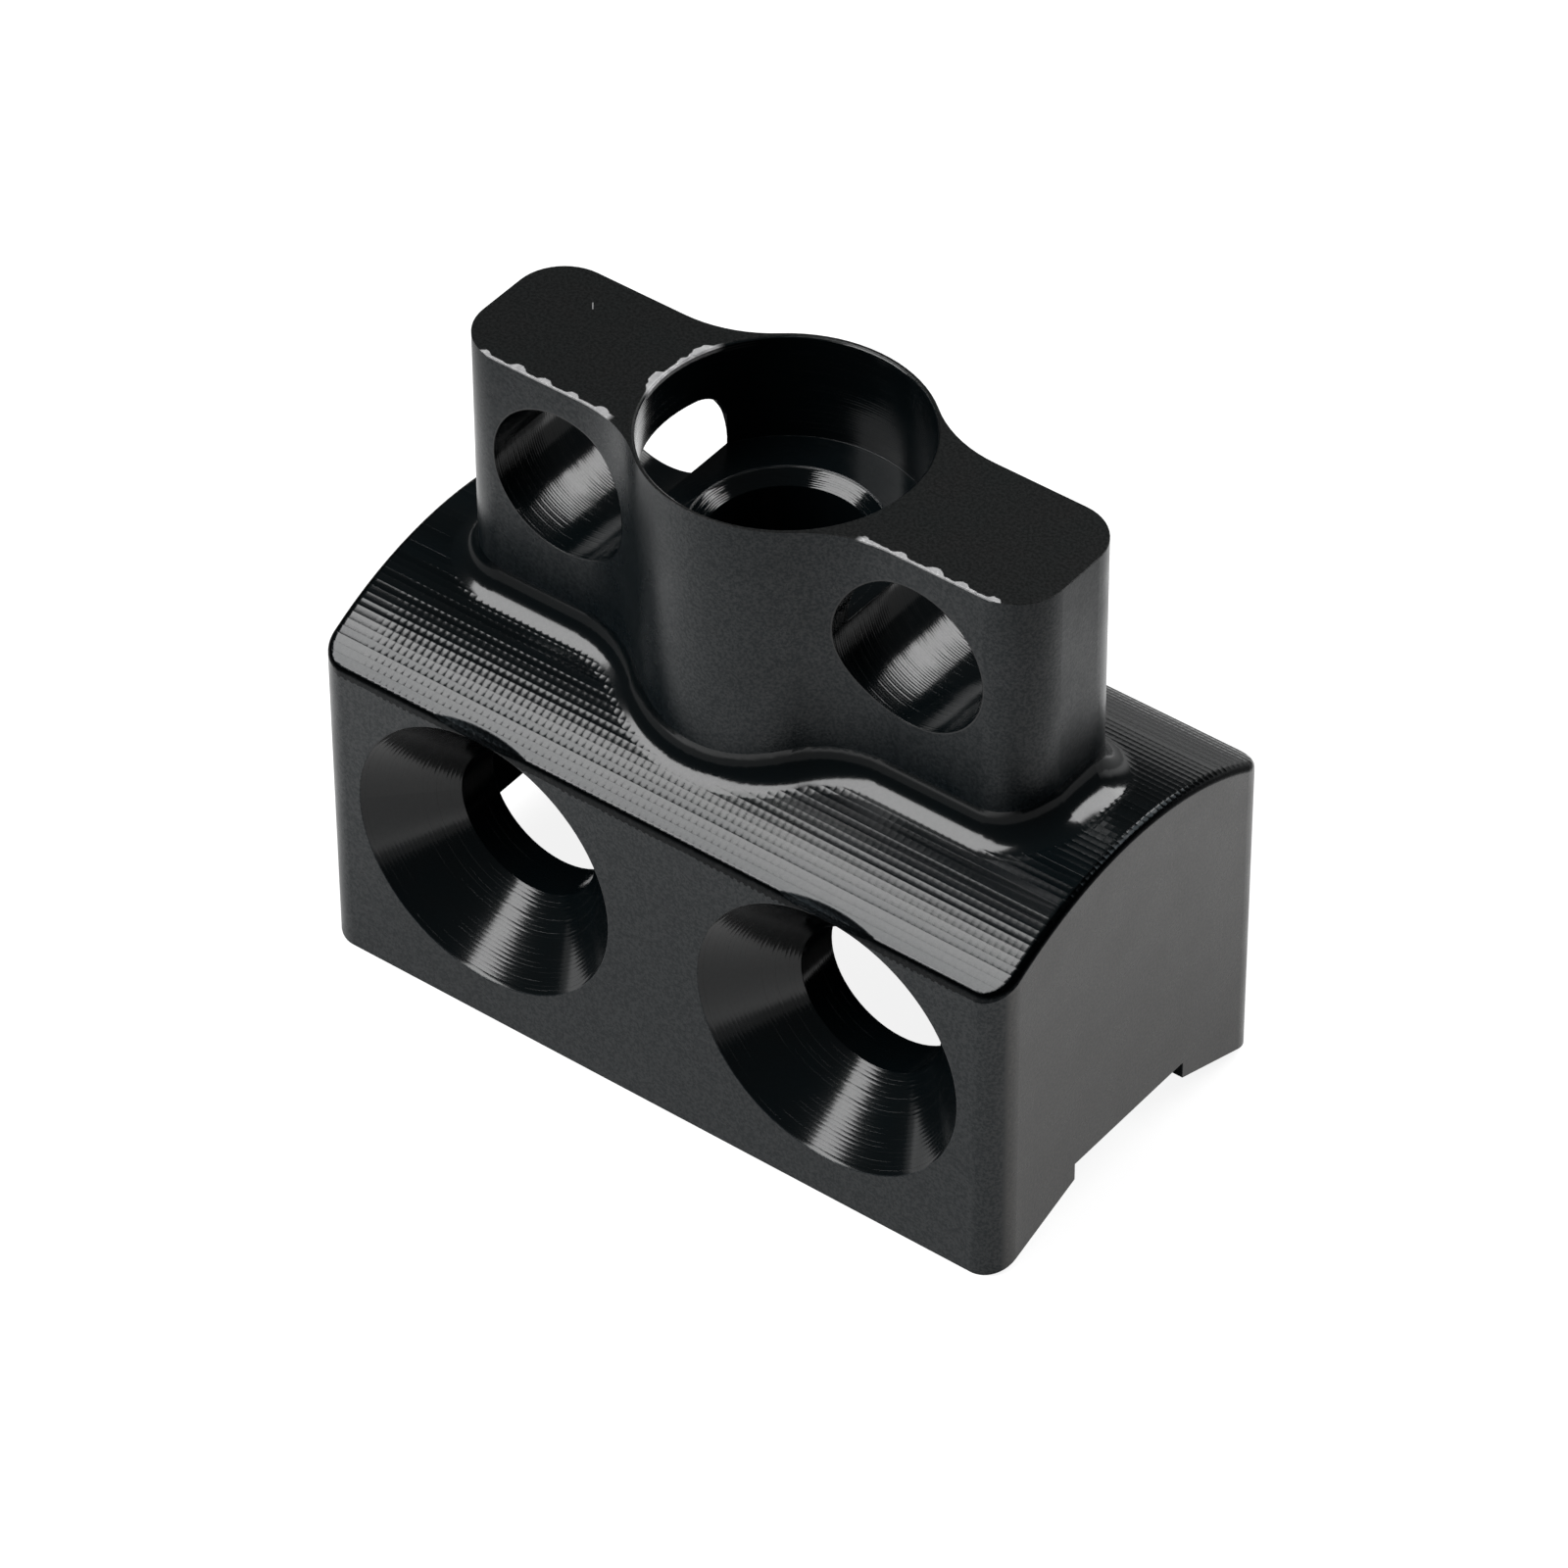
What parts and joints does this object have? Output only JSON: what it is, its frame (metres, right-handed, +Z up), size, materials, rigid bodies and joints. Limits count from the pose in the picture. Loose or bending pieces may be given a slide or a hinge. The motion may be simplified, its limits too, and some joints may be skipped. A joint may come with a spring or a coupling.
{
  "type": "saddle mounting block",
  "caption": "Milled black saddle block with countersunk side screw holes, a crowned top, and a tall bored boss with cross-drilled ears.",
  "frame": {"origin": "centre of the footprint, at the level of the outer feet", "axes": "+X along the block, +Y from the countersunk front face to the back face, +Z up the boss"},
  "size_m": [0.04, 0.0208, 0.0343],
  "materials": {
    "anodised_black": "black anodised, milled: satin walls, fine mill lines on the crown, bright where an edge is chipped"
  },
  "bodies": {
    "root": {"saddle_block": "anodised_black"}
  },
  "joints": []
}
